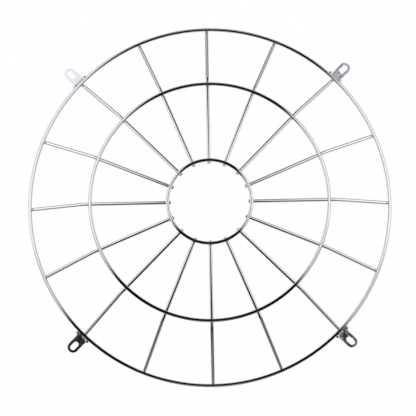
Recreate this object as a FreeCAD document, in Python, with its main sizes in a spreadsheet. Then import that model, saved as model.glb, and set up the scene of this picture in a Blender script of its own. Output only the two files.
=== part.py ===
"""A welded round-wire guard for the front of a lamp.

Three concentric rings lie on top of sixteen radial wires. The radial wires run flat across the crown,
bend just outside the middle ring and slope down to the outer ring. Four slotted tabs are welded to the
outer side of the outer ring, each in line with a radial wire. The axis of the guard is Z, its crown is
up, and the undersides of the tabs lie on z = 0. All sizes are in millimetres.
"""

import FreeCAD, Part
import math
import os

import Sketcher

OUTPUT_FOLDER = "parts"

# Name, value in mm (or a count) and meaning of each driving size
DRIVING_SIZES = (
    ("ring_wire_dia", 3.5, "diameter of the wire of the three rings"),
    ("radial_wire_dia", 3.5, "diameter of the radial wires"),
    ("outer_ring_dia", 356.5, "outer ring, measured to the centre of its wire"),
    ("middle_ring_dia", 234.5, "middle ring, measured to the centre of its wire"),
    ("inner_ring_dia", 82.5, "inner ring, measured to the centre of its wire"),
    ("crown_rise", 30.0, "height of the two crown rings above the outer ring"),
    ("mount_gap", 1.25, "gap from the mounting plane to the wires stacked under the outer ring"),
    ("weld_setdown", 0.5, "how far two crossing wires are pressed together at a weld"),
    ("radial_wire_count", 16, "number of radial wires"),
    ("bend_offset", 6.5, "from the middle ring out to the corner of the radial wire's bend"),
    ("bend_radius", 10.0, "radius of that bend, to the centre of the wire"),
    ("inner_overhang", 1.25, "how far a radial wire's end stands inside the inner ring"),
    ("outer_overhang", 0.8, "how far a radial wire runs on past its weld at the outer ring"),
    ("tab_count", 4, "number of mounting tabs"),
    ("tab_width", 11.0, "width of a tab"),
    ("tab_thickness", 1.5, "thickness of a tab"),
    ("joggle_reach", 4.0, "from the outer ring out to the corner of the tab's bend"),
    ("joggle_radius", 1.75, "radius of the tab's bend, to the middle of the plate"),
    ("slot_reach", 14.25, "from the outer ring out to the middle of the slot"),
    ("slot_width", 5.5, "width of the slot, clear of an M5 screw"),
    ("slot_length", 9.5, "length of the slot from end to end"),
    ("tip_rim", 2.4, "metal left between the slot and the tip of the tab"),
)

# Sizes that follow from the driving ones, as expressions on the sheet
RING_RADIUS = {
    "outer_ring": "sizes.outer_ring_dia / 2",
    "middle_ring": "sizes.middle_ring_dia / 2",
    "inner_ring": "sizes.inner_ring_dia / 2",
}
OUTER_RING_HEIGHT = (
    "sizes.mount_gap + sizes.radial_wire_dia - sizes.weld_setdown + sizes.ring_wire_dia / 2"
)
CROWN_HEIGHT = OUTER_RING_HEIGHT + " + sizes.crown_rise"
RING_HEIGHT = {
    "outer_ring": OUTER_RING_HEIGHT,
    "middle_ring": CROWN_HEIGHT,
    "inner_ring": CROWN_HEIGHT,
}
SEAT_DISTANCE = "(sizes.ring_wire_dia + sizes.radial_wire_dia) / 2 - sizes.weld_setdown"
WIRE_FLAT_HEIGHT = CROWN_HEIGHT + " - (" + SEAT_DISTANCE + ")"
WIRE_INNER_END = "(sizes.inner_ring_dia - sizes.ring_wire_dia) / 2 - sizes.inner_overhang"
WIRE_BEND_CORNER = "sizes.middle_ring_dia / 2 + sizes.bend_offset"
TAB_BEND_CORNER = "sizes.outer_ring_dia / 2 + sizes.joggle_reach"
SLOT_MIDDLE = "sizes.outer_ring_dia / 2 + sizes.slot_reach"
TIP_CENTRE = SLOT_MIDDLE + " + sizes.slot_length / 2 + sizes.tip_rim - sizes.tab_width / 2"

# Numbers by which a sketch names its own axes and the two ends of an edge
ORIGIN_POINT = (-1, 1)
X_AXIS, Y_AXIS = range(-1, -3, -1)
START, END, CENTRE = range(1, 4)

doc = FreeCAD.newDocument("wire_guard")
sheet = doc.addObject("Spreadsheet::Sheet", "sizes")


def fill_sheet():
    """Write each driving size as a plain number with an alias."""
    for row, (alias, number, meaning) in enumerate(DRIVING_SIZES, start=1):
        sheet.set(f"A{row}", alias)
        sheet.set(f"B{row}", str(number))
        sheet.set(f"C{row}", meaning)
        sheet.setAlias(f"B{row}", alias)
    doc.recompute()


def size(alias):
    """Read one driving size back from the sheet."""
    return float(sheet.get(alias))


def seat_distance():
    """Distance between the centre lines of two wires that are pressed together at a weld."""
    return (size("ring_wire_dia") + size("radial_wire_dia")) / 2 - size("weld_setdown")


def add_sketch(body, name, plane_role):
    """Add a sketch that lies on one of the body's own origin planes."""
    plane = next(item for item in body.Origin.OriginFeatures if item.Role == plane_role)
    sketch = body.newObject("Sketcher::SketchObject", f"{body.Name}_{name}")
    sketch.AttachmentSupport = [(plane, "")]
    sketch.MapMode = "FlatFace"
    return sketch


def drawn_size(sketch, kind, *refs):
    """Measure what a dimension would read on the sketch as it is drawn."""
    if kind == "Radius":
        return sketch.Geometry[refs[0]].Radius
    if kind == "Diameter":
        return sketch.Geometry[refs[0]].Radius * 2
    if len(refs) == 1:
        return sketch.Geometry[refs[0]].length()
    apart = sketch.getPoint(*refs[2:]) - sketch.getPoint(*refs[:2])
    return {"DistanceX": apart.x, "DistanceY": apart.y, "Distance": apart.Length}[kind]


def hold(sketch, *constraint, expression=None):
    """Add one constraint, and tie its value to the sheet where it has one."""
    if expression is None:
        sketch.addConstraint(Sketcher.Constraint(*constraint))
        return
    index = sketch.addConstraint(Sketcher.Constraint(*constraint, drawn_size(sketch, *constraint)))
    sketch.setExpression(f"Constraints[{index}]", expression)


def place_point(sketch, edge, point, across=None, up=None):
    """Tie a point of a sketch to distances from the sketch's origin."""
    if across is not None:
        hold(sketch, "DistanceX", *ORIGIN_POINT, edge, point, expression=across)
    if up is not None:
        hold(sketch, "DistanceY", *ORIGIN_POINT, edge, point, expression=up)


def circle(sketch, x, y, diameter, expression):
    """Draw a circle and tie its diameter to the sheet."""
    edge = sketch.addGeometry(
        Part.Circle(FreeCAD.Vector(x, y, 0), FreeCAD.Vector(0, 0, 1), diameter / 2), False
    )
    hold(sketch, "Diameter", edge, expression=expression)
    return edge


def add_ring(name):
    """Add a ring of round wire, bent to a circle and butt welded."""
    ring = doc.addObject("Part::Torus", name)
    ring.Label = name
    ring.setExpression("Radius1", RING_RADIUS[name])
    ring.setExpression("Radius2", "sizes.ring_wire_dia / 2")
    ring.setExpression("Placement.Base.z", RING_HEIGHT[name])
    return ring


def draw_wire_path(sketch, rings):
    """Draw a radial wire's centre line: flat crown, bend, and slope down to the outer ring.

    The slope passes the outer ring's section at the distance that the weld leaves between the two
    wires, so its angle follows from the ring sizes and the rise of the crown.
    """
    seat = seat_distance()
    ring_x, ring_z = rings["outer_ring"].Radius1.Value, rings["outer_ring"].Placement.Base.z
    flat_z = rings["middle_ring"].Placement.Base.z - seat
    inner_x = rings["inner_ring"].Radius1.Value - size("ring_wire_dia") / 2 - size("inner_overhang")
    corner_x = rings["middle_ring"].Radius1.Value + size("bend_offset")
    radius = size("bend_radius")

    run, drop = ring_x - corner_x, flat_z - ring_z
    slope = math.atan2(drop, run) + math.asin(seat / math.hypot(run, drop))
    along = FreeCAD.Vector(math.cos(slope), -math.sin(slope), 0)
    inward = FreeCAD.Vector(-math.sin(slope), -math.cos(slope), 0)
    corner = FreeCAD.Vector(corner_x, flat_z, 0)
    tangent_length = radius * math.tan(slope / 2)
    bend_start = corner - FreeCAD.Vector(tangent_length, 0, 0)
    bend_end = corner + along * tangent_length
    bend_centre = bend_start - FreeCAD.Vector(0, radius, 0)
    ring_centre = FreeCAD.Vector(ring_x, ring_z, 0)
    weld = ring_centre + inward * seat

    flat = sketch.addGeometry(Part.LineSegment(FreeCAD.Vector(inner_x, flat_z, 0), bend_start), False)
    arc_circle = Part.Circle(bend_centre, FreeCAD.Vector(0, 0, 1), radius)
    bend = sketch.addGeometry(
        Part.ArcOfCircle(arc_circle, math.pi / 2 - slope, math.pi / 2), False
    )
    fall = sketch.addGeometry(
        Part.LineSegment(bend_end, weld + along * size("outer_overhang")), False
    )
    reach = sketch.addGeometry(Part.LineSegment(ring_centre, weld), True)
    apex = sketch.addGeometry(Part.Point(corner), True)

    hold(sketch, "Horizontal", flat)
    place_point(sketch, flat, START, across=WIRE_INNER_END, up=WIRE_FLAT_HEIGHT)
    hold(sketch, "Tangent", flat, END, bend, END)
    hold(sketch, "Tangent", bend, START, fall, START)
    hold(sketch, "Radius", bend, expression="sizes.bend_radius")
    hold(sketch, "PointOnObject", apex, START, flat)
    hold(sketch, "PointOnObject", apex, START, fall)
    place_point(sketch, apex, START, across=WIRE_BEND_CORNER)
    place_point(sketch, reach, START, across=RING_RADIUS["outer_ring"], up=OUTER_RING_HEIGHT)
    hold(sketch, "Perpendicular", reach, fall)
    hold(sketch, "PointOnObject", reach, END, fall)
    hold(sketch, "Distance", reach, expression=SEAT_DISTANCE)
    hold(sketch, "Distance", reach, END, fall, END, expression="sizes.outer_overhang")


def cut_ring_seats(body, rings, names):
    """Groove the body with the round section of each named ring, so that it fits the ring."""
    sketch = add_sketch(body, "ring_sections", "XZ_Plane")
    for name in names:
        ring = rings[name]
        section = circle(
            sketch, ring.Radius1.Value, ring.Placement.Base.z, size("ring_wire_dia"),
            "sizes.ring_wire_dia",
        )
        place_point(sketch, section, CENTRE, across=RING_RADIUS[name], up=RING_HEIGHT[name])
    groove = body.newObject("PartDesign::Groove", f"{body.Name}_ring_seats")
    groove.Profile = sketch
    groove.ReferenceAxis = (sketch, ["V_Axis"])
    groove.Angle = 360.0
    return groove


def turn_about_axis(body, index, count_alias):
    """Turn a body to its place among equally spaced ones."""
    body.Placement = FreeCAD.Placement(
        FreeCAD.Vector(0, 0, 0), FreeCAD.Rotation(FreeCAD.Vector(0, 0, 1), 360.0 * index / size(count_alias))
    )
    body.setExpression("Placement.Rotation.Angle", f"360 * {index} / sizes.{count_alias}")


def add_radial_wire(index, rings):
    """Add one radial wire: a bent round wire with a seat under each of the three rings."""
    body = doc.addObject("PartDesign::Body", f"radial_wire_{index + 1:02d}")
    body.Label = body.Name
    path = add_sketch(body, "path", "XZ_Plane")
    draw_wire_path(path, rings)

    section = add_sketch(body, "section", "YZ_Plane")
    section.setExpression("AttachmentOffset.Base.z", WIRE_INNER_END)
    flat_z = rings["middle_ring"].Placement.Base.z - seat_distance()
    wire = circle(section, 0, flat_z, size("radial_wire_dia"), "sizes.radial_wire_dia")
    hold(section, "PointOnObject", wire, CENTRE, Y_AXIS)
    place_point(section, wire, CENTRE, up=WIRE_FLAT_HEIGHT)

    pipe = body.newObject("PartDesign::AdditivePipe", f"{body.Name}_wire")
    pipe.Profile = section
    pipe.Spine = (path, ["Edge1", "Edge2", "Edge3"])
    seats = cut_ring_seats(body, rings, ("outer_ring", "middle_ring", "inner_ring"))
    turn_about_axis(body, index, "radial_wire_count")
    return body, [(pipe, seats)]


def draw_tab_path(sketch, rings):
    """Draw the middle line of a tab: in from the round tip, and up the joggle to the outer ring."""
    ring_centre = FreeCAD.Vector(
        rings["outer_ring"].Radius1.Value, rings["outer_ring"].Placement.Base.z, 0
    )
    middle_z = size("tab_thickness") / 2
    corner = FreeCAD.Vector(ring_centre.x + size("joggle_reach"), middle_z, 0)
    tip_x = (
        ring_centre.x + size("slot_reach") + size("slot_length") / 2
        + size("tip_rim") - size("tab_width") / 2
    )
    leg = ring_centre - corner
    lean = math.atan2(leg.y, -leg.x)
    radius = size("joggle_radius")
    tangent_length = radius * math.tan(lean / 2)
    flat_end = corner + FreeCAD.Vector(tangent_length, 0, 0)
    leg_start = corner + leg.normalize() * tangent_length
    bend_circle = Part.Circle(
        flat_end + FreeCAD.Vector(0, radius, 0), FreeCAD.Vector(0, 0, 1), radius
    )

    plate = sketch.addGeometry(
        Part.LineSegment(FreeCAD.Vector(tip_x, middle_z, 0), flat_end), False
    )
    bend = sketch.addGeometry(
        Part.ArcOfCircle(bend_circle, 1.5 * math.pi - lean, 1.5 * math.pi), False
    )
    rise = sketch.addGeometry(Part.LineSegment(leg_start, ring_centre), False)
    apex = sketch.addGeometry(Part.Point(corner), True)

    hold(sketch, "Horizontal", plate)
    place_point(sketch, plate, START, across=TIP_CENTRE, up="sizes.tab_thickness / 2")
    hold(sketch, "Tangent", plate, END, bend, END)
    hold(sketch, "Tangent", bend, START, rise, START)
    hold(sketch, "Radius", bend, expression="sizes.joggle_radius")
    hold(sketch, "PointOnObject", apex, START, plate)
    hold(sketch, "PointOnObject", apex, START, rise)
    place_point(sketch, apex, START, across=TAB_BEND_CORNER)
    place_point(sketch, rise, END, across=RING_RADIUS["outer_ring"], up=OUTER_RING_HEIGHT)


def draw_strip_section(sketch):
    """Draw the strip's rectangular section, standing on the mounting plane."""
    half, top = size("tab_width") / 2, size("tab_thickness")
    corners = [
        FreeCAD.Vector(-half, 0, 0), FreeCAD.Vector(half, 0, 0),
        FreeCAD.Vector(half, top, 0), FreeCAD.Vector(-half, top, 0),
    ]
    edges = [
        sketch.addGeometry(Part.LineSegment(corners[i], corners[(i + 1) % 4]), False)
        for i in range(4)
    ]
    for i, edge in enumerate(edges):
        hold(sketch, "Coincident", edge, END, edges[(i + 1) % 4], START)
        hold(sketch, "Horizontal" if i % 2 == 0 else "Vertical", edge)
    hold(sketch, "Symmetric", edges[0], START, edges[0], END, *ORIGIN_POINT)
    hold(sketch, "Distance", edges[0], expression="sizes.tab_width")
    hold(sketch, "Distance", edges[1], expression="sizes.tab_thickness")


def draw_slot(sketch, middle_x):
    """Draw an obround slot that runs along the sketch's X axis."""
    radius = size("slot_width") / 2
    half = size("slot_length") / 2 - radius
    up = FreeCAD.Vector(0, 0, 1)
    inner, outer = FreeCAD.Vector(middle_x - half, 0, 0), FreeCAD.Vector(middle_x + half, 0, 0)
    side = FreeCAD.Vector(0, radius, 0)
    outer_end = sketch.addGeometry(
        Part.ArcOfCircle(Part.Circle(outer, up, radius), -math.pi / 2, math.pi / 2), False
    )
    far_side = sketch.addGeometry(Part.LineSegment(outer + side, inner + side), False)
    inner_end = sketch.addGeometry(
        Part.ArcOfCircle(Part.Circle(inner, up, radius), math.pi / 2, 1.5 * math.pi), False
    )
    near_side = sketch.addGeometry(Part.LineSegment(inner - side, outer - side), False)
    middle = sketch.addGeometry(Part.Point(FreeCAD.Vector(middle_x, 0, 0)), True)

    hold(sketch, "Tangent", outer_end, END, far_side, START)
    hold(sketch, "Tangent", far_side, END, inner_end, START)
    hold(sketch, "Tangent", inner_end, END, near_side, START)
    hold(sketch, "Tangent", near_side, END, outer_end, START)
    hold(sketch, "Equal", outer_end, inner_end)
    hold(sketch, "PointOnObject", outer_end, CENTRE, X_AXIS)
    hold(sketch, "PointOnObject", inner_end, CENTRE, X_AXIS)
    hold(sketch, "Symmetric", outer_end, CENTRE, inner_end, CENTRE, middle, START)
    hold(sketch, "Radius", outer_end, expression="sizes.slot_width / 2")
    hold(
        sketch, "Distance", inner_end, CENTRE, outer_end, CENTRE,
        expression="sizes.slot_length - sizes.slot_width",
    )
    place_point(sketch, middle, START, across=SLOT_MIDDLE)


def add_mounting_tab(index, rings):
    """Add one mounting tab: a strip with a round tip and a slot, joggled up to the outer ring."""
    body = doc.addObject("PartDesign::Body", f"mounting_tab_{index + 1}")
    body.Label = body.Name
    path = add_sketch(body, "path", "XZ_Plane")
    draw_tab_path(path, rings)
    section = add_sketch(body, "section", "YZ_Plane")
    section.setExpression("AttachmentOffset.Base.z", TIP_CENTRE)
    draw_strip_section(section)
    strip = body.newObject("PartDesign::AdditivePipe", f"{body.Name}_strip")
    strip.Profile = section
    strip.Spine = (path, ["Edge1", "Edge2", "Edge3"])

    slot_x = rings["outer_ring"].Radius1.Value + size("slot_reach")
    tip_outline = add_sketch(body, "tip_outline", "XY_Plane")
    tip_x = slot_x + size("slot_length") / 2 + size("tip_rim") - size("tab_width") / 2
    tip_edge = circle(tip_outline, tip_x, 0, size("tab_width"), "sizes.tab_width")
    hold(tip_outline, "PointOnObject", tip_edge, CENTRE, X_AXIS)
    place_point(tip_outline, tip_edge, CENTRE, across=TIP_CENTRE)
    tip = body.newObject("PartDesign::Pad", f"{body.Name}_tip")
    tip.Profile = tip_outline
    tip.setExpression("Length", "sizes.tab_thickness")

    slot_outline = add_sketch(body, "slot_outline", "XY_Plane")
    draw_slot(slot_outline, slot_x)
    slot = body.newObject("PartDesign::Pocket", f"{body.Name}_slot")
    slot.Profile = slot_outline
    slot.Reversed = True
    slot.setExpression("Length", "sizes.tab_thickness * 2")

    seat = cut_ring_seats(body, rings, ("outer_ring",))
    turn_about_axis(body, index, "tab_count")
    return body, [(tip, slot), (slot, seat)]


def check_objects():
    """Stop if any object of the document failed, even where it raised nothing."""
    for item in doc.Objects:
        if "Invalid" in item.State or "Error" in item.State:
            raise RuntimeError(f"{item.Label} did not build: {item.State}")


def check_cuts(cuts):
    """Stop if a cut took nothing off the solid before it."""
    for before, after in cuts:
        if after.Shape.Volume >= before.Shape.Volume - 1e-3:
            raise RuntimeError(f"{after.Label} cuts nothing")


def write_pieces(pieces):
    """Check each piece's solid and write it to a file of its own name."""
    os.makedirs(OUTPUT_FOLDER, exist_ok=True)
    for piece in pieces:
        if piece.Shape.isNull() or not piece.Shape.isValid() or len(piece.Shape.Solids) != 1:
            raise RuntimeError(f"{piece.Label} is not one valid solid")
    for piece in pieces:
        piece.Shape.exportStep(os.path.join(OUTPUT_FOLDER, f"{piece.Label}.step"))


def build():
    """Build the guard and write its pieces."""
    fill_sheet()
    rings = {name: add_ring(name) for name in RING_RADIUS}
    doc.recompute()

    pieces = list(rings.values())
    cuts = []
    for index in range(int(size("radial_wire_count"))):
        wire, wire_cuts = add_radial_wire(index, rings)
        pieces.append(wire)
        cuts.extend(wire_cuts)
    for index in range(int(size("tab_count"))):
        tab, tab_cuts = add_mounting_tab(index, rings)
        pieces.append(tab)
        cuts.extend(tab_cuts)
    doc.recompute()

    check_objects()
    check_cuts(cuts)
    write_pieces(pieces)

    overall = Part.makeCompound([piece.Shape for piece in pieces]).BoundBox
    print(f"{len(pieces)} pieces, {overall.XLength:.2f} x {overall.YLength:.2f} x {overall.ZLength:.2f} mm")


build()
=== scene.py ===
"""Looks of a welded wire lamp guard, lying crown up on a pale floor and seen from nearly overhead."""

import math
import random

import bmesh
import bpy
from mathutils import Matrix, Vector


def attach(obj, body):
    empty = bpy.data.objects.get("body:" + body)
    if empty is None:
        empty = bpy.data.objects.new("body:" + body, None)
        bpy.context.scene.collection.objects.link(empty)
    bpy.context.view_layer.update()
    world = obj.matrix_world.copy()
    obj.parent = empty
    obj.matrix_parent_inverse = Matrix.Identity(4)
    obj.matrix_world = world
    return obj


MM = 0.001

# Sizes that the welds and finishes take from the guard, in millimetres
WIRE_RADIUS = 1.75
RING_RADIUS = {"outer_ring": 178.25, "middle_ring": 117.25, "inner_ring": 41.25}
RING_HEIGHT = {"outer_ring": 6.0, "middle_ring": 36.0, "inner_ring": 36.0}
SEAT_DISTANCE = 3.0
WIRE_COUNT = 16
TAB_COUNT = 4
CROWN_HEIGHT = 33.0
BEND_RADIUS_OUT = 123.75
SLOPE = math.radians(29.3)
TAB_CORNER_RADIUS = 0.2

# The camera, as the photograph was taken: the guard turned, leaned a little and far off.
# Angles are in degrees and lengths in metres.
PHOTO_WIDTH = 416
GUARD_TURN = 46.06
GUARD_LEAN = -8.47
GUARD_ROLL = -0.45
CAMERA_DISTANCE = 14.9 * 178.25 * MM
CAMERA_SHIFT_RIGHT = 0.0101 * 178.25 * MM
CAMERA_SHIFT_UP = 0.0114 * 178.25 * MM
RING_RADIUS_IN_PIXELS = 179.85
SENSOR_WIDTH = 36.0
CAMERA_CLIP = (0.05, 50)

# The floor. Its size, its height just under the tabs and the end of its pale sheet are in metres. The glow is
# the share of it that shows no shadow, and past its sheet the metal sees it darker.
FLOOR_HALF_WIDTH = 6.0
FLOOR_HEIGHT = -0.0004
FLOOR_GLOW = 0.94
FLOOR_WHITE = 1.02
PAPER_MOTTLE_SCALE = 60.0
PAPER_DARK = (0.95, 0.95, 0.95, 1)
PAPER_PALE = (0.98, 0.98, 0.98, 1)
SHEET_END = (0.19, 0.25)
PAST_SHEET_LEVEL = 0.12

# The light tent, close over the guard and in metres. Each pair called an edge is a soft step's start and end
# in degrees from overhead, towards a side or towards the back, with the front below zero.
TENT_HEIGHT = 0.160
TENT_REACH = 2.0
CLOTH_LEVEL = 1.62
WALL_LEVEL = 2.3
WALL_EDGE = (58, 84)
SIDES_EDGE = (-5, 5)
FRONT_LEFT_LEVEL = 1.1
FRONT_RIGHT_LEVEL = 0.95
FRONT_EDGE = (0, -22)
BACK_SHARE = 0.45
BACK_MIDDLE = 8
BACK_SIDE_EDGE = (55, 20)
BACK_EDGE = (28, 58)
# The slit for the camera: it moves right and widens towards the back
SLIT_EDGE = (12, 18)
SLIT_END = (65, 55)
SLIT_FAR_EDGE = (18, 48)
SLIT_MIDDLE = -1.5
SLIT_MOVE = 6
SLIT_SPREAD = 1.1
# The opening in front: its sides stand at a slant, a little farther out on the left
DOORWAY_EDGE = (11, 21)
DOORWAY_SKEW = (-3, 4)
DOORWAY_START = (2, -9)
# The dim room beyond the opening, seen low down and a little lower to the sides
ROOM_LEVEL = 0.46
ROOM_EDGE = (-59, -64)
ROOM_SIDE_EDGE = (8, 24)
ROOM_SIDE_DROP = 3.0
# The cloth's hem, close to the floor all round
HEM_EDGE = (79, 84)
UNDER_HEM_SHARE = 0.12
TINT_EDGE = (-10, 50)
FRONT_TINT = (1.0, 0.98, 0.98, 1)
BACK_TINT = (0.95, 0.96, 1.0, 1)

# Colours of the metal: bright chromium over steel
CHROME = (0.57, 0.57, 0.595, 1)
RUBBED_WIRE = (0.42, 0.42, 0.44, 1)
CUT_END = (0.30, 0.29, 0.29, 1)
CLOUD_DARK = (0.94, 0.94, 0.95, 1)
CLOUD_PALE = (1.0, 1.0, 1.0, 1)
STRIP_DARK = (0.50, 0.50, 0.525, 1)
STRIP_PALE = (0.585, 0.585, 0.61, 1)
RUBBED_STRIP = (0.36, 0.36, 0.38, 1)
WELD_DARK = (0.52, 0.52, 0.55, 1)
WELD_PALE = (0.66, 0.66, 0.69, 1)

# Drawn wire. Lines and clouds are sized per millimetre, the relief in metres.
WIRE_ROUGHNESS = 0.05
WIRE_RELIEF = 0.00001
DIE_LINE_STRETCH = 0.02
DIE_LINE_SCALE = 5.0
DIE_LINE_HEIGHT = 0.35
CLOUD_SCALE = 0.25
CLOUD_EDGE = (0.3, 0.7)
CLOUD_ROUGHNESS_SHARE = (0.75, 1.35)
RIPPLE_SCALE = 0.9
RIPPLE_HEIGHT = 1.6
WIRE_GRAIN_SPACING = 700.0
WIRE_MARKS = 0.5
RUBBED_WIRE_ROUGHNESS = 0.25
CUT_END_EDGE = (0.68, 0.82)
CUT_END_ROUGHNESS = 0.30
RUN_OUTPUTS = [("Along", "NodeSocketFloat"), ("Across", "NodeSocketFloat"), ("Above", "NodeSocketFloat")]

# Handling marks, sized per metre
MARK_PATCH_SCALE = 60.0
MARK_PATCH_EDGE = (0.55, 0.75)
MARK_SPECK_SCALE = 500.0
MARK_SPECK_EDGE = (0.30, 0.12)

# Rolled and sheared strip, sized per metre
STRIP_RELIEF = 0.000012
STRIP_WAVE_SCALE = 260.0
STRIP_WAVE_HEIGHT = 26.0
STRIP_WAVE_EDGE = (0.3, 0.7)
STRIP_ROUGHNESS = (0.12, 0.20)
STRIP_PEEL_SCALE = 1400.0
STRIP_PEEL_HEIGHT = 0.5
STRIP_SHEAR_SCALE = 3000.0
STRIP_SHEAR_STRETCH = (1, 1, 0.15)
STRIP_SHEAR_HEIGHT = 1.5
STRIP_SIDE_EDGE = (0.45, 0.2)
STRIP_SIDE_ROUGHNESS = 0.12
STRIP_MARKS = 0.8
RUBBED_STRIP_ROUGHNESS = 0.2

# Weld metal, sized per metre
POCK_SCALE = 1500.0
POCK_EDGE = (0.3, 0.7)
WELD_ROUGHNESS = (0.12, 0.26)
WELD_RELIEF = 0.00005

# The seam squeezed out at a crossing of two wires, in millimetres
SEAM_POINTS = 28
SEAM_SIDES = 8
SEAM_SIZES = (0.85, 1.2)
SEAM_STAND_OFF = 0.16
SEAM_WANDER = 0.03
SEAM_RADIUS = 0.40
SEAM_SWELL = 0.16
SEAM_LUMPS = (0.92, 1.08)

# Beads at a tab, in millimetres: distance from the guard's middle, from the tab's middle and above the floor,
# then half their length, width and height
TAB_BEAD_PLACE = (180.9, 6.2, 4.3)
TAB_BEAD_SIZE = (2.1, 1.6, 1.6)
TAB_BEAD_SIZES = (0.88, 1.12)
TAB_BEAD_WANDER = (0.15, 0.3)
TAB_BEAD_LUMPS = 5
TAB_BEAD_LUMP_RISE = (0.06, 0.16)
TAB_BEAD_LUMP_POWER = 6

# The ground collar at a ring's butt weld: its bearing in degrees, then millimetres
BUTT_WELD_BEARING = {"outer_ring": 200.3, "inner_ring": 204.9}
COLLAR_HALF_LENGTH = 2.0
COLLAR_SWELL = 0.24
COLLAR_SWELLS = (0.8, 1.2)
COLLAR_TUCK = 0.06
COLLAR_UNEVEN = 0.02
COLLAR_BELOW_TOP = 0.02
COLLAR_SECTIONS = 13
COLLAR_SIDES = 20

WELD_SEED = 16


# Camera

def photo_axes():
    """Rotation from the guard's frame to the photograph's: right, up and towards the camera."""
    return (
        Matrix.Rotation(math.radians(GUARD_LEAN), 3, "X")
        @ Matrix.Rotation(math.radians(GUARD_ROLL), 3, "Y")
        @ Matrix.Rotation(math.radians(GUARD_TURN), 3, "Z")
    )


def table_axes():
    """The photograph's right and up directions, laid flat on the floor."""
    turn = math.radians(GUARD_TURN)
    return Vector((math.cos(turn), -math.sin(turn), 0)), Vector((math.sin(turn), math.cos(turn), 0))


def add_camera():
    """Camera at the photograph's viewing angle."""
    data = bpy.data.cameras.new("camera")
    data.sensor_width = SENSOR_WIDTH
    focal_pixels = RING_RADIUS_IN_PIXELS * CAMERA_DISTANCE / (RING_RADIUS["outer_ring"] * MM)
    data.lens = focal_pixels / PHOTO_WIDTH * SENSOR_WIDTH
    data.clip_start, data.clip_end = CAMERA_CLIP
    camera = bpy.data.objects.new("camera", data)
    upright = photo_axes().transposed()
    ring_centre = Vector((0, 0, RING_HEIGHT["outer_ring"] * MM))
    place = ring_centre + upright @ Vector((-CAMERA_SHIFT_RIGHT, -CAMERA_SHIFT_UP, CAMERA_DISTANCE))
    camera.matrix_world = Matrix.Translation(place) @ upright.to_4x4()
    bpy.context.scene.collection.objects.link(camera)
    bpy.context.scene.camera = camera


# Node helpers

def new_material(name):
    """An empty node material."""
    material = bpy.data.materials.new(name)
    material.use_nodes = True
    material.node_tree.nodes.clear()
    return material


def node(tree, kind, inputs=None, **settings):
    """Add a node, set its fields, and fill or link its inputs."""
    made = tree.nodes.new(kind)
    for field, value in settings.items():
        setattr(made, field, value)
    for socket, value in (inputs or {}).items():
        if isinstance(value, bpy.types.NodeSocket):
            tree.links.new(value, made.inputs[socket])
        else:
            made.inputs[socket].default_value = value
    return made


def maths(tree, operation, *values):
    """One Math node's result."""
    return node(tree, "ShaderNodeMath", dict(enumerate(values)), operation=operation).outputs[0]


def vector_maths(tree, operation, *values):
    """One Vector Math node's outputs."""
    return node(tree, "ShaderNodeVectorMath", dict(enumerate(values)), operation=operation).outputs


def dot(tree, vector, axis):
    """Length of a vector along a direction."""
    return vector_maths(tree, "DOT_PRODUCT", vector, axis)["Value"]


def flat_length(tree, first, second):
    """Length of the diagonal of two values."""
    squares = [maths(tree, "MULTIPLY", value, value) for value in (first, second)]
    return maths(tree, "SQRT", maths(tree, "ADD", *squares))


def ramp(tree, value, edge, low=0.0, high=1.0):
    """A soft step from low to high between the two numbers of an edge."""
    start, end = edge
    return node(tree, "ShaderNodeMapRange",
                {"Value": value, "From Min": start, "From Max": end, "To Min": low, "To Max": high},
                interpolation_type="SMOOTHSTEP").outputs[0]


def combine(tree, x, y, z):
    """A vector from its three parts."""
    return node(tree, "ShaderNodeCombineXYZ", {"X": x, "Y": y, "Z": z}).outputs[0]


def noise(tree, place, scale, detail, roughness=0.5):
    """Soft noise over a place."""
    return node(tree, "ShaderNodeTexNoise",
                {"Vector": place, "Scale": scale, "Detail": detail, "Roughness": roughness}).outputs["Fac"]


def blend_values(tree, share, first, second):
    """Mix two values."""
    return node(tree, "ShaderNodeMix", {0: share, 2: first, 3: second}).outputs[0]


def blend_colours(tree, share, first, second, blend_type="MIX"):
    """Mix two colours."""
    return node(tree, "ShaderNodeMix", {0: share, 6: first, 7: second},
                data_type="RGBA", blend_type=blend_type).outputs[2]


def object_place(tree):
    """Where a point lies in the guard's frame, in metres."""
    return node(tree, "ShaderNodeTexCoord").outputs["Object"]


def new_group(name, inputs, outputs):
    """A shader node group with named sockets: its tree, and its input node's outputs."""
    tree = bpy.data.node_groups.new(name, "ShaderNodeTree")
    for label, value in inputs:
        tree.interface.new_socket(label, in_out="INPUT", socket_type="NodeSocketFloat").default_value = value
    for label, kind in outputs:
        tree.interface.new_socket(label, in_out="OUTPUT", socket_type=kind)
    return tree, node(tree, "NodeGroupInput").outputs


def close_group(tree, **results):
    """Link a group's results to its outputs."""
    end = node(tree, "NodeGroupOutput")
    for label, socket in results.items():
        tree.links.new(socket, end.inputs[label])


def place_group(tree, group, **inputs):
    """Put a group into a material with its own values."""
    made = node(tree, "ShaderNodeGroup", node_tree=group)
    for label, value in inputs.items():
        socket = made.inputs[label.replace("_", " ")]
        if isinstance(value, bpy.types.NodeSocket):
            tree.links.new(value, socket)
        else:
            socket.default_value = value
    return made.outputs


# Studio

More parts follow.
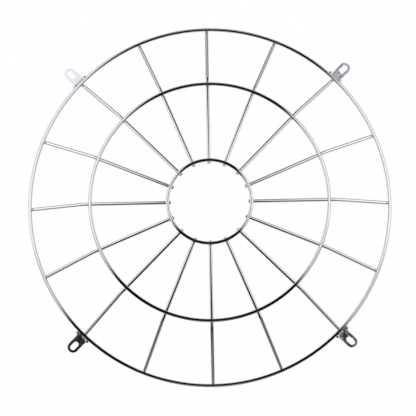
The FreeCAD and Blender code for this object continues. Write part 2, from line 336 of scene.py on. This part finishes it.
def floor_material():
    """Pale floor: white to the camera, with a little of the guard's shadow. The metal sees its sheet end."""
    material = new_material("pale_floor")
    tree = material.node_tree
    path = node(tree, "ShaderNodeLightPath").outputs
    place = node(tree, "ShaderNodeNewGeometry").outputs["Position"]
    right_axis, up_axis = table_axes()
    reach = flat_length(tree, dot(tree, place, right_axis), dot(tree, place, up_axis))
    sheet = ramp(tree, reach, SHEET_END, 1.0, PAST_SHEET_LEVEL)
    shown = maths(tree, "MAXIMUM", path["Is Camera Ray"], sheet)
    seen = maths(tree, "MAXIMUM", path["Is Camera Ray"], path["Is Glossy Ray"])
    mottle = node(tree, "ShaderNodeTexNoise", {"Scale": PAPER_MOTTLE_SCALE, "Detail": 4.0}).outputs["Fac"]
    matt = node(tree, "ShaderNodeBsdfDiffuse", {"Color": blend_colours(tree, mottle, PAPER_DARK, PAPER_PALE)})
    glow = node(tree, "ShaderNodeEmission",
                {"Color": (1, 1, 1, 1), "Strength": maths(tree, "MULTIPLY", shown, FLOOR_WHITE)})
    mixed = node(tree, "ShaderNodeMixShader",
                 {0: maths(tree, "MULTIPLY", seen, FLOOR_GLOW), 1: matt.outputs[0], 2: glow.outputs[0]})
    node(tree, "ShaderNodeOutputMaterial", {"Surface": mixed.outputs[0]})
    return material


def add_plate(name, half_width, height, material):
    """A flat square stage plate, level and centred under or over the guard."""
    corners = [(-half_width, -half_width, height), (half_width, -half_width, height),
               (half_width, half_width, height), (-half_width, half_width, height)]
    mesh = bpy.data.meshes.new(name)
    mesh.from_pydata(corners, [], [(0, 1, 2, 3)])
    plate = bpy.data.objects.new(name, mesh)
    plate.data.materials.append(material)
    bpy.context.scene.collection.objects.link(plate)
    return plate


def tent_light_group():
    """How bright the light tent is in a direction, as seen from the guard.

    Across and Along are degrees from overhead, to the right and to the back. The cloth is brightest low down
    at both sides. A dark slit for the camera runs over the middle, and the front is open to a dim room.
    """
    tree, given = new_group("tent_light", [("Across", 0.0), ("Along", 0.0)],
                            [("Colour", "NodeSocketColor"), ("Level", "NodeSocketFloat")])
    right, along = given["Across"], given["Along"]
    across = maths(tree, "ABSOLUTE", right)

    walls = ramp(tree, across, WALL_EDGE, CLOTH_LEVEL, WALL_LEVEL)
    front = ramp(tree, right, SIDES_EDGE, FRONT_LEFT_LEVEL, FRONT_RIGHT_LEVEL)
    cloth = blend_values(tree, ramp(tree, along, FRONT_EDGE), walls, front)

    from_back = maths(tree, "ABSOLUTE", maths(tree, "SUBTRACT", right, BACK_MIDDLE))
    behind = maths(tree, "MULTIPLY", ramp(tree, from_back, BACK_SIDE_EDGE), ramp(tree, along, BACK_EDGE))
    back = maths(tree, "MULTIPLY_ADD", behind, BACK_SHARE - 1, 1.0)

    far = ramp(tree, along, SLIT_FAR_EDGE)
    slit_middle = maths(tree, "MULTIPLY_ADD", far, SLIT_MOVE, SLIT_MIDDLE)
    aside = maths(tree, "ABSOLUTE", maths(tree, "SUBTRACT", right, slit_middle))
    narrowed = maths(tree, "DIVIDE", aside, maths(tree, "MULTIPLY_ADD", far, SLIT_SPREAD, 1.0))
    in_slit = maths(tree, "MULTIPLY", ramp(tree, narrowed, SLIT_EDGE, 1.0, 0.0), ramp(tree, along, SLIT_END))
    past_slit = maths(tree, "SUBTRACT", 1.0, in_slit)

    skew = ramp(tree, right, SIDES_EDGE, *DOORWAY_SKEW)
    opening = maths(tree, "ADD", maths(tree, "ADD", across, along), skew)
    in_doorway = maths(tree, "MULTIPLY", ramp(tree, opening, DOORWAY_EDGE, 1.0, 0.0),
                       ramp(tree, along, DOORWAY_START))
    past_doorway = maths(tree, "SUBTRACT", 1.0, in_doorway)

    lit = maths(tree, "MULTIPLY", maths(tree, "MULTIPLY", cloth, back),
                maths(tree, "MULTIPLY", past_slit, past_doorway))
    drop = ramp(tree, across, ROOM_SIDE_EDGE, 0.0, ROOM_SIDE_DROP)
    room = ramp(tree, maths(tree, "ADD", along, drop), ROOM_EDGE, 0.0, ROOM_LEVEL)
    above_hem = ramp(tree, flat_length(tree, right, along), HEM_EDGE, 1.0, UNDER_HEM_SHARE)
    level = maths(tree, "MULTIPLY", maths(tree, "ADD", lit, room), above_hem)
    tint = blend_colours(tree, ramp(tree, along, TINT_EDGE), FRONT_TINT, BACK_TINT)
    close_group(tree, Colour=tint, Level=level)
    return tree


def tent_angles(tree, right, up, rise):
    """Degrees from overhead, to the photograph's right and up, from a direction's three parts."""
    smallest = 0.0001
    flat = maths(tree, "MAXIMUM", flat_length(tree, right, up), smallest)
    degrees = maths(tree, "MULTIPLY", maths(tree, "ARCTAN2", flat, rise), 180 / math.pi)
    scale = maths(tree, "DIVIDE", degrees, flat)
    return maths(tree, "MULTIPLY", right, scale), maths(tree, "MULTIPLY", up, scale)


def add_tent_roof(tent_light):
    """The tent's roof close over the guard. Only the metal sees it."""
    cloth = new_material("tent_cloth")
    tree = cloth.node_tree
    place = node(tree, "ShaderNodeNewGeometry").outputs["Position"]
    right_axis, up_axis = table_axes()
    across, along = tent_angles(tree, dot(tree, place, right_axis), dot(tree, place, up_axis),
                                TENT_HEIGHT - RING_HEIGHT["outer_ring"] * MM)
    light = place_group(tree, tent_light, Across=across, Along=along)
    glow = node(tree, "ShaderNodeEmission", {"Color": light["Colour"], "Strength": light["Level"]})
    node(tree, "ShaderNodeOutputMaterial", {"Surface": glow.outputs[0]})
    roof = add_plate("tent_roof", TENT_REACH, TENT_HEIGHT, cloth)
    roof.visible_camera = False
    roof.visible_diffuse = False
    roof.visible_shadow = False
    roof.visible_transmission = False


def set_world(tent_light):
    """The same soft tent light from far off, and plain white behind the guard."""
    world = bpy.data.worlds.new("studio")
    world.use_nodes = True
    bpy.context.scene.world = world
    tree = world.node_tree
    tree.nodes.clear()
    look = node(tree, "ShaderNodeTexCoord").outputs["Generated"]
    right_axis, up_axis = table_axes()
    across, along = tent_angles(tree, dot(tree, look, right_axis), dot(tree, look, up_axis),
                                dot(tree, look, (0, 0, 1)))
    light = place_group(tree, tent_light, Across=across, Along=along)
    tent = node(tree, "ShaderNodeBackground", {"Color": light["Colour"], "Strength": light["Level"]})
    white = node(tree, "ShaderNodeBackground", {"Color": (1, 1, 1, 1), "Strength": 1.0})
    path = node(tree, "ShaderNodeLightPath").outputs
    mixed = node(tree, "ShaderNodeMixShader",
                 {0: path["Is Camera Ray"], 1: tent.outputs[0], 2: white.outputs[0]})
    node(tree, "ShaderNodeOutputWorld", {"Surface": mixed.outputs[0]})


# Finishes

def polar_place(tree):
    """A point's bearing in radians, and its distance from the guard's middle and height in millimetres."""
    x, y, z = node(tree, "ShaderNodeSeparateXYZ", {0: object_place(tree)}).outputs
    reach = maths(tree, "MULTIPLY", flat_length(tree, x, y), 1 / MM)
    return maths(tree, "ARCTAN2", y, x), reach, maths(tree, "MULTIPLY", z, 1 / MM)


def ring_run_group():
    """Where a point lies on a ring: along it, across it and above its middle, in millimetres."""
    tree, given = new_group("ring_run", [("Ring Radius", 100.0), ("Ring Height", 0.0)], RUN_OUTPUTS)
    bearing, reach, height = polar_place(tree)
    close_group(tree, Along=maths(tree, "MULTIPLY", bearing, given["Ring Radius"]),
                Across=maths(tree, "SUBTRACT", reach, given["Ring Radius"]),
                Above=maths(tree, "SUBTRACT", height, given["Ring Height"]))
    return tree


def radial_run_group():
    """Where a point lies on the nearest radial wire, in millimetres."""
    tree, _ = new_group("radial_wire_run", [], RUN_OUTPUTS)
    bearing, reach, height = polar_place(tree)
    step = 2 * math.pi / WIRE_COUNT
    nearest = maths(tree, "SNAP", maths(tree, "ADD", bearing, step / 2), step)
    across = maths(tree, "MULTIPLY", reach, maths(tree, "SINE", maths(tree, "SUBTRACT", bearing, nearest)))
    past_bend = maths(tree, "MAXIMUM", maths(tree, "SUBTRACT", reach, BEND_RADIUS_OUT), 0.0)
    line = maths(tree, "MULTIPLY_ADD", past_bend, -math.tan(SLOPE), CROWN_HEIGHT)
    # Each wire gets its own stretch of grain
    own = maths(tree, "MULTIPLY_ADD", nearest, WIRE_GRAIN_SPACING, reach)
    close_group(tree, Along=own, Across=across, Above=maths(tree, "SUBTRACT", height, line))
    return tree


def drawn_grain_group():
    """Die lines that run along a drawn wire, under a smooth plate with faint clouds in it."""
    tree, given = new_group(
        "drawn_grain", [("Along", 0.0), ("Across", 0.0), ("Above", 0.0), ("Roughness", WIRE_ROUGHNESS)],
        [("Colour", "NodeSocketColor"), ("Roughness", "NodeSocketFloat"), ("Height", "NodeSocketFloat")])
    stretched = combine(tree, maths(tree, "MULTIPLY", given["Along"], DIE_LINE_STRETCH),
                        given["Across"], given["Above"])
    lines = noise(tree, stretched, DIE_LINE_SCALE, 3.0, roughness=0.6)
    even = combine(tree, given["Along"], given["Across"], given["Above"])
    clouds = noise(tree, even, CLOUD_SCALE, 2.0)
    ripple = noise(tree, even, RIPPLE_SCALE, 1.0)
    roughness_share = ramp(tree, clouds, CLOUD_EDGE, *CLOUD_ROUGHNESS_SHARE)
    close_group(tree, Colour=blend_colours(tree, clouds, CLOUD_DARK, CLOUD_PALE),
                Roughness=maths(tree, "MULTIPLY", given["Roughness"], roughness_share),
                Height=maths(tree, "MULTIPLY_ADD", lines, DIE_LINE_HEIGHT,
                             maths(tree, "MULTIPLY", ripple, RIPPLE_HEIGHT)))
    return tree


def handling_marks_group():
    """A mask of small dull specks and rubbed spots of handled plate."""
    tree, given = new_group("handling_marks", [("Amount", 0.5)], [("Mask", "NodeSocketFloat")])
    place = object_place(tree)
    patches = noise(tree, place, MARK_PATCH_SCALE, 2.0)
    cells = node(tree, "ShaderNodeTexVoronoi", {"Vector": place, "Scale": MARK_SPECK_SCALE}).outputs
    specks = ramp(tree, cells["Distance"], MARK_SPECK_EDGE)
    spot = maths(tree, "MULTIPLY", specks, ramp(tree, patches, MARK_PATCH_EDGE))
    close_group(tree, Mask=maths(tree, "MULTIPLY", spot, given["Amount"]))
    return tree


def finish_metal(tree, colour, roughness, height, relief):
    """Close a metal material: its shader, and a fine bump whose relief is in metres."""
    bump = node(tree, "ShaderNodeBump", {"Height": height, "Distance": relief, "Strength": 1.0})
    metal = node(tree, "ShaderNodeBsdfPrincipled",
                 {"Base Color": colour, "Metallic": 1.0, "Roughness": roughness, "Normal": bump.outputs[0]})
    node(tree, "ShaderNodeOutputMaterial", {"Surface": metal.outputs[0]})


def wire_material(name, groups, ring=None):
    """Plated drawn wire, its grain following a ring or the radial wires."""
    material = new_material(name)
    tree = material.node_tree
    if ring:
        run = place_group(tree, groups["ring_run"],
                          Ring_Radius=RING_RADIUS[ring], Ring_Height=RING_HEIGHT[ring])
    else:
        run = place_group(tree, groups["radial_run"])
    grain = place_group(tree, groups["grain"], Along=run["Along"], Across=run["Across"], Above=run["Above"],
                        Roughness=WIRE_ROUGHNESS)
    rubbed = place_group(tree, groups["marks"], Amount=WIRE_MARKS)["Mask"]
    plated = blend_colours(tree, 1.0, CHROME, grain["Colour"], "MULTIPLY")
    colour = blend_colours(tree, rubbed, plated, RUBBED_WIRE)
    roughness = maths(tree, "MULTIPLY_ADD", rubbed, RUBBED_WIRE_ROUGHNESS, grain["Roughness"])
    if not ring:
        # The sheared ends face along the wire, and the plate lies thin and dull on them
        facing = node(tree, "ShaderNodeNewGeometry").outputs["Normal"]
        level = vector_maths(tree, "MULTIPLY", object_place(tree), (1, 1, 0))[0]
        outward = vector_maths(tree, "NORMALIZE", level)[0]
        cut = ramp(tree, maths(tree, "ABSOLUTE", dot(tree, facing, outward)), CUT_END_EDGE)
        colour = blend_colours(tree, cut, colour, CUT_END)
        roughness = maths(tree, "MULTIPLY_ADD", cut, CUT_END_ROUGHNESS, roughness)
    finish_metal(tree, colour, roughness, grain["Height"], WIRE_RELIEF)
    return material


def tab_material(groups):
    """Plated strip: rolled face with slow waves, sheared edges drawn across the thickness."""
    material = new_material("stamped_strip")
    tree = material.node_tree
    place = object_place(tree)
    waves = noise(tree, place, STRIP_WAVE_SCALE, 2.0)
    peel = noise(tree, place, STRIP_PEEL_SCALE, 2.0)
    facing = node(tree, "ShaderNodeNewGeometry").outputs["Normal"]
    side = ramp(tree, maths(tree, "ABSOLUTE", dot(tree, facing, (0, 0, 1))), STRIP_SIDE_EDGE)
    squashed = vector_maths(tree, "MULTIPLY", place, STRIP_SHEAR_STRETCH)[0]
    shear = noise(tree, squashed, STRIP_SHEAR_SCALE, 2.0)
    rubbed = place_group(tree, groups["marks"], Amount=STRIP_MARKS)["Mask"]
    colour = blend_colours(tree, rubbed, blend_colours(tree, peel, STRIP_DARK, STRIP_PALE), RUBBED_STRIP)
    duller = maths(tree, "MULTIPLY_ADD", side, STRIP_SIDE_ROUGHNESS,
                   maths(tree, "MULTIPLY", rubbed, RUBBED_STRIP_ROUGHNESS))
    roughness = maths(tree, "ADD", ramp(tree, waves, STRIP_WAVE_EDGE, *STRIP_ROUGHNESS), duller)
    shear_lines = maths(tree, "MULTIPLY", maths(tree, "MULTIPLY", shear, side), STRIP_SHEAR_HEIGHT)
    fine = maths(tree, "ADD", maths(tree, "MULTIPLY", peel, STRIP_PEEL_HEIGHT), shear_lines)
    height = maths(tree, "ADD", maths(tree, "MULTIPLY", waves, STRIP_WAVE_HEIGHT), fine)
    finish_metal(tree, colour, roughness, height, STRIP_RELIEF)
    return material


def weld_material():
    """Plated weld metal: pocked and a little satin."""
    material = new_material("plated_weld")
    tree = material.node_tree
    pocks = noise(tree, object_place(tree), POCK_SCALE, 3.0)
    finish_metal(tree, blend_colours(tree, pocks, WELD_DARK, WELD_PALE),
                 ramp(tree, pocks, POCK_EDGE, *WELD_ROUGHNESS), pocks, WELD_RELIEF)
    return material


# Welds

def compass(bearing):
    """The directions outward and along the rings at a bearing in radians."""
    return (Vector((math.cos(bearing), math.sin(bearing), 0)),
            Vector((-math.sin(bearing), math.cos(bearing), 0)))


def crossing_frames(ring):
    """Middle of each crossing of a ring with the radial wires: place, ring, wire and upward directions."""
    slope = SLOPE if ring == "outer_ring" else 0.0
    for index in range(WIRE_COUNT):
        outward, along_ring = compass(2 * math.pi * index / WIRE_COUNT)
        along_wire = outward * math.cos(slope) + Vector((0, 0, -math.sin(slope)))
        upward = outward * math.sin(slope) + Vector((0, 0, math.cos(slope)))
        ring_place = outward * RING_RADIUS[ring] + Vector((0, 0, RING_HEIGHT[ring]))
        yield ring_place - upward * SEAT_DISTANCE / 2, along_ring, along_wire, upward


def add_seam(bm, line, radii):
    """A closed lumpy bead along a loop of points, with its own radius at each."""
    count = len(line)
    middle = sum(line, Vector()) / count
    rows = []
    for index, (point, radius) in enumerate(zip(line, radii)):
        ahead = (line[(index + 1) % count] - line[index - 1]).normalized()
        out = point - middle
        out = (out - ahead * out.dot(ahead)).normalized()
        over = ahead.cross(out)
        row = []
        for side in range(SEAM_SIDES):
            turn = 2 * math.pi * side / SEAM_SIDES
            row.append(bm.verts.new((point + (out * math.cos(turn) + over * math.sin(turn)) * radius) * MM))
        rows.append(row)
    for near, far in zip(rows, rows[1:] + rows[:1]):
        add_band(bm, near, far)


def add_band(bm, near, far):
    """Join two rows of points, each closed on itself, with faces."""
    for side in range(len(near)):
        after = (side + 1) % len(near)
        bm.faces.new((near[side], near[after], far[after], far[side]))


def add_piece(name, bm, material):
    """Turn a mesh into a smooth piece of the guard."""
    bmesh.ops.recalc_face_normals(bm, faces=bm.faces)
    mesh = bpy.data.meshes.new(name)
    bm.to_mesh(mesh)
    bm.free()
    mesh.polygons.foreach_set("use_smooth", [True] * len(mesh.polygons))
    mesh.materials.append(material)
    piece = bpy.data.objects.new(name, mesh)
    bpy.context.scene.collection.objects.link(piece)
    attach(piece, "root")


def on_wire(height, share):
    """How far out a round wire's surface is at a height from its middle, on the side that share tells."""
    return math.copysign(math.sqrt(max(WIRE_RADIUS ** 2 - height ** 2, 0)), share)


def add_crossing_welds(ring, material, chance):
    """Resistance welds: metal squeezed out round each place where a radial wire is pressed into a ring."""
    bm = bmesh.new()
    half_seat = SEAT_DISTANCE / 2
    dip = WIRE_RADIUS - half_seat
    for middle, along_ring, along_wire, upward in crossing_frames(ring):
        size = chance.uniform(*SEAM_SIZES)
        line, radii = [], []
        for index in range(SEAM_POINTS):
            turn = 2 * math.pi * index / SEAM_POINTS
            height = -dip * math.cos(2 * turn)
            right = on_wire(height + half_seat, math.cos(turn))
            ahead = on_wire(height - half_seat, math.sin(turn))
            to_side, to_corner = abs(math.sin(turn)), abs(math.sin(2 * turn))
            spread = 1 + SEAM_STAND_OFF * size * to_side + chance.uniform(-SEAM_WANDER, SEAM_WANDER)
            line.append(middle + along_ring * right * spread + along_wire * ahead * spread + upward * height)
            radii.append(size * (SEAM_RADIUS + SEAM_SWELL * to_side + SEAM_SWELL * to_corner)
                         * chance.uniform(*SEAM_LUMPS))
        add_seam(bm, line, radii)
    add_piece(ring + "_welds", bm, material)


def add_tab_welds(material, chance):
    """Two run-out beads at each tab, one in each corner between its side edge and the outer ring."""
    bm = bmesh.new()
    reach, aside, height = TAB_BEAD_PLACE
    reach_wander, aside_wander = TAB_BEAD_WANDER
    for index in range(TAB_COUNT):
        outward, along_ring = compass(2 * math.pi * index / TAB_COUNT)
        for side in (-1, 1):
            half_length, half_width, half_height = (
                size * chance.uniform(*TAB_BEAD_SIZES) for size in TAB_BEAD_SIZE)
            middle = (outward * (reach + chance.uniform(-reach_wander, reach_wander))
                      + along_ring * side * (aside + chance.uniform(-aside_wander, aside_wander))
                      + Vector((0, 0, height)))
            bead = bmesh.ops.create_icosphere(bm, subdivisions=3, radius=1.0)["verts"]
            lumps = [(Vector((chance.gauss(0, 1), chance.gauss(0, 1), chance.gauss(0, 1))).normalized(),
                      chance.uniform(*TAB_BEAD_LUMP_RISE)) for _ in range(TAB_BEAD_LUMPS)]
            for vert in bead:
                swell = 1 + sum(rise * max(vert.co.dot(way), 0) ** TAB_BEAD_LUMP_POWER for way, rise in lumps)
                local = vert.co * swell
                vert.co = (middle + outward * local.x * half_width + along_ring * local.y * half_length
                           + Vector((0, 0, local.z * half_height))) * MM
    add_piece("tab_welds", bm, material)


def add_butt_weld(ring, bearing, material, chance):
    """The collar where a ring's two wire ends are butted together and ground back."""
    bm = bmesh.new()
    rows = []
    for index in range(COLLAR_SECTIONS):
        along = 2 * index / (COLLAR_SECTIONS - 1) - 1
        outward, _ = compass(math.radians(bearing) + along * COLLAR_HALF_LENGTH / RING_RADIUS[ring])
        bulge = COLLAR_SWELL * math.cos(along * math.pi / 2) ** 2 * chance.uniform(*COLLAR_SWELLS)
        rise = bulge - COLLAR_TUCK * abs(along) ** 4
        row = []
        for side in range(COLLAR_SIDES):
            around = 2 * math.pi * side / COLLAR_SIDES
            radius = WIRE_RADIUS + rise + chance.uniform(-COLLAR_UNEVEN, COLLAR_UNEVEN)
            over = min(radius * math.sin(around), WIRE_RADIUS - COLLAR_BELOW_TOP)
            row.append(bm.verts.new((outward * (RING_RADIUS[ring] + radius * math.cos(around))
                                     + Vector((0, 0, RING_HEIGHT[ring] + over))) * MM))
        rows.append(row)
    for near, far in zip(rows, rows[1:]):
        add_band(bm, near, far)
    bm.faces.new(rows[0])
    bm.faces.new(rows[-1])
    add_piece(ring + "_butt_weld", bm, material)


def dress(frame):
    """Give each piece of the guard its finish."""
    groups = {"ring_run": ring_run_group(), "radial_run": radial_run_group(), "grain": drawn_grain_group(),
              "marks": handling_marks_group()}
    finishes = {ring: wire_material(ring + "_wire", groups, ring) for ring in RING_RADIUS}
    radial, strip = wire_material("radial_wire", groups), tab_material(groups)
    for name, piece in frame["nodes"].items():
        finish = finishes.get(name) or (strip if name.startswith("mounting_tab") else radial)
        piece.data.materials.clear()
        piece.data.materials.append(finish)
        if finish is strip:
            rounding = piece.modifiers.new("sheared_corner", "BEVEL")
            rounding.width = TAB_CORNER_RADIUS * MM
            rounding.segments = 2
            rounding.limit_method = "ANGLE"
            rounding.angle_limit = math.radians(50)


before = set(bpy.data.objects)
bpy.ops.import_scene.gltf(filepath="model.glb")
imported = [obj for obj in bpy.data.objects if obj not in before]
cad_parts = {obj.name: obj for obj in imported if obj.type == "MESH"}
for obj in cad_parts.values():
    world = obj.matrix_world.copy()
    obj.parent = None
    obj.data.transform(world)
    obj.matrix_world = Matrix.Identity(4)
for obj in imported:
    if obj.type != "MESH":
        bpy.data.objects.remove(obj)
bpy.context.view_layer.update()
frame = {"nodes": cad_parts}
bpy.context.scene.view_settings.view_transform = "Standard"
add_camera()
add_plate("floor", FLOOR_HALF_WIDTH, FLOOR_HEIGHT, floor_material())
tent_light = tent_light_group()
add_tent_roof(tent_light)
set_world(tent_light)
dress(frame)
weld = weld_material()
chance = random.Random(WELD_SEED)
for ring in RING_RADIUS:
    add_crossing_welds(ring, weld, chance)
add_tab_welds(weld, chance)
for ring, bearing in BUTT_WELD_BEARING.items():
    add_butt_weld(ring, bearing, weld, chance)
